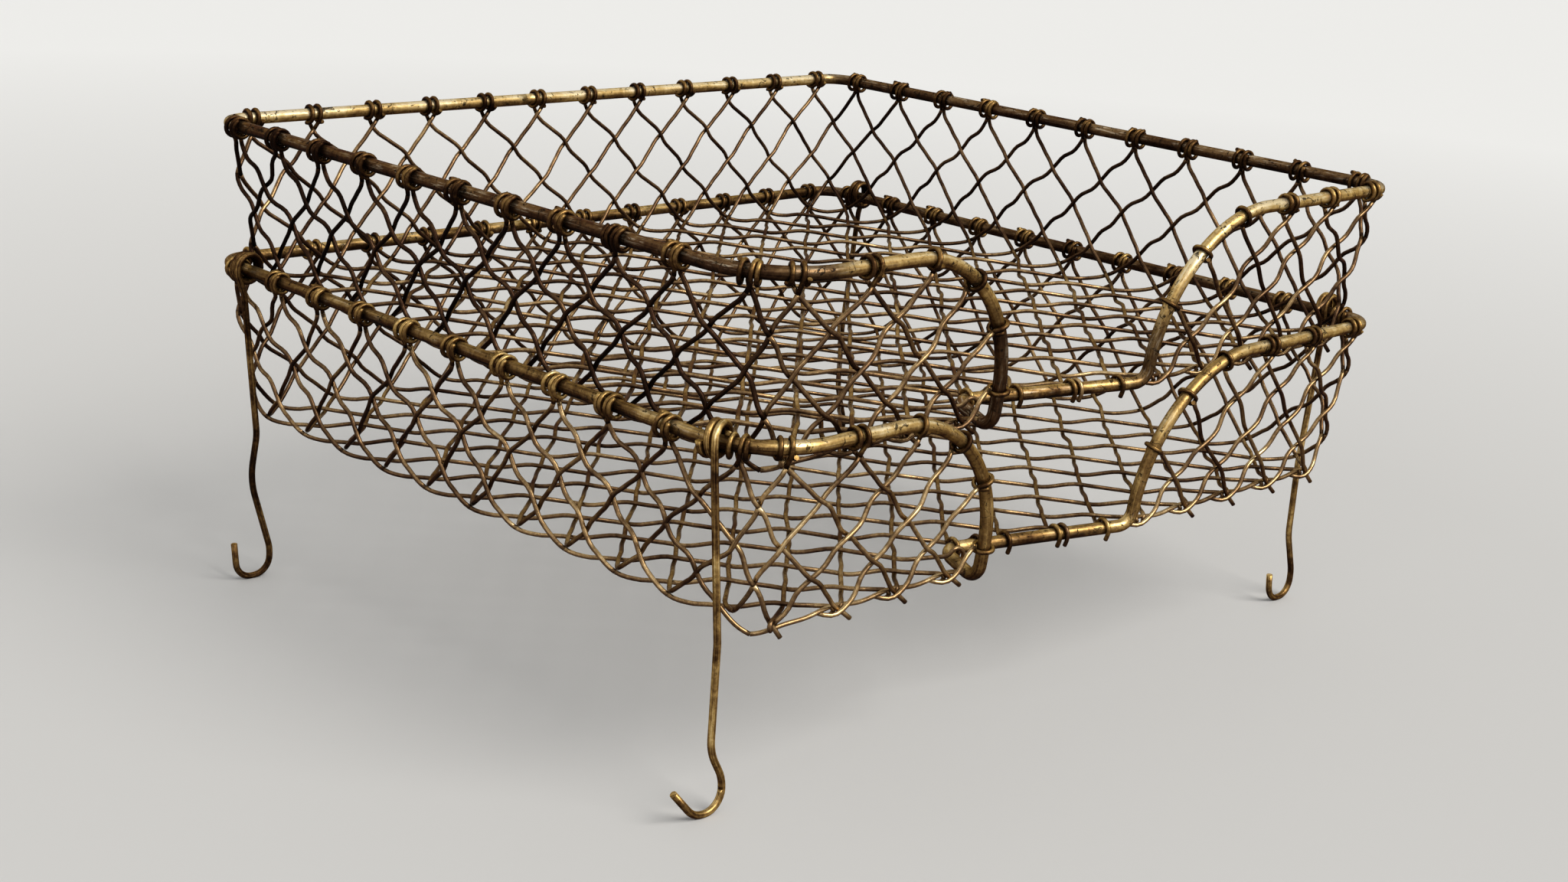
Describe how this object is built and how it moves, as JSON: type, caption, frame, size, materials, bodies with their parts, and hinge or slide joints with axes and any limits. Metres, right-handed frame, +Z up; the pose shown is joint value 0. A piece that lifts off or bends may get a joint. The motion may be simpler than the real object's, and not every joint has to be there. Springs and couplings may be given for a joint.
{
  "type": "stacking letter tray",
  "caption": "Two-tier stacking letter tray of aged brass wire: open diamond-net baskets with a finger dip in front, the lower one on hooked legs, the upper one lifting off.",
  "frame": {"origin": "bottom centre of the bounding box, on the table", "axes": "+X along the front towards its right end, -Y to the front with the finger dips, +Z up"},
  "size_m": [0.3425, 0.2982, 0.1738],
  "materials": {
    "rim_rod": "aged, worn patina",
    "net_wire": "dark bronze patina",
    "tie_wire": "aged, rubbed bright",
    "leg_wire": "aged, streaked patina"
  },
  "bodies": {
    "lower_tray": {"lower_rim": "rim_rod", "lower_floor_net": "net_wire", "lower_left_net": "net_wire", "lower_right_net": "net_wire", "lower_back_net": "net_wire", "lower_front_left_net": "net_wire", "lower_front_right_net": "net_wire", "lower_left_ties": "tie_wire", "lower_right_ties": "tie_wire", "lower_back_ties": "tie_wire", "lower_front_left_ties": "tie_wire", "lower_front_right_ties": "tie_wire", "lower_bar_ties": "tie_wire", "lower_left_edge_wire": "net_wire", "lower_right_edge_wire": "net_wire", "front_left_leg": "leg_wire", "front_right_leg": "leg_wire", "back_left_leg": "leg_wire", "back_right_leg": "leg_wire"},
    "upper_tray": {"upper_rim": "rim_rod", "upper_floor_net": "net_wire", "upper_left_net": "net_wire", "upper_right_net": "net_wire", "upper_back_net": "net_wire", "upper_front_left_net": "net_wire", "upper_front_right_net": "net_wire", "upper_left_ties": "tie_wire", "upper_right_ties": "tie_wire", "upper_back_ties": "tie_wire", "upper_front_left_ties": "tie_wire", "upper_front_right_ties": "tie_wire", "upper_bar_ties": "tie_wire", "upper_left_edge_wire": "net_wire", "upper_right_edge_wire": "net_wire"}
  },
  "joints": [
    {"name": "upper_lift", "type": "slide", "parent": "lower_tray", "child": "upper_tray", "axis": [0, 0, 1], "range_m": [0, 0.15]}
  ]
}
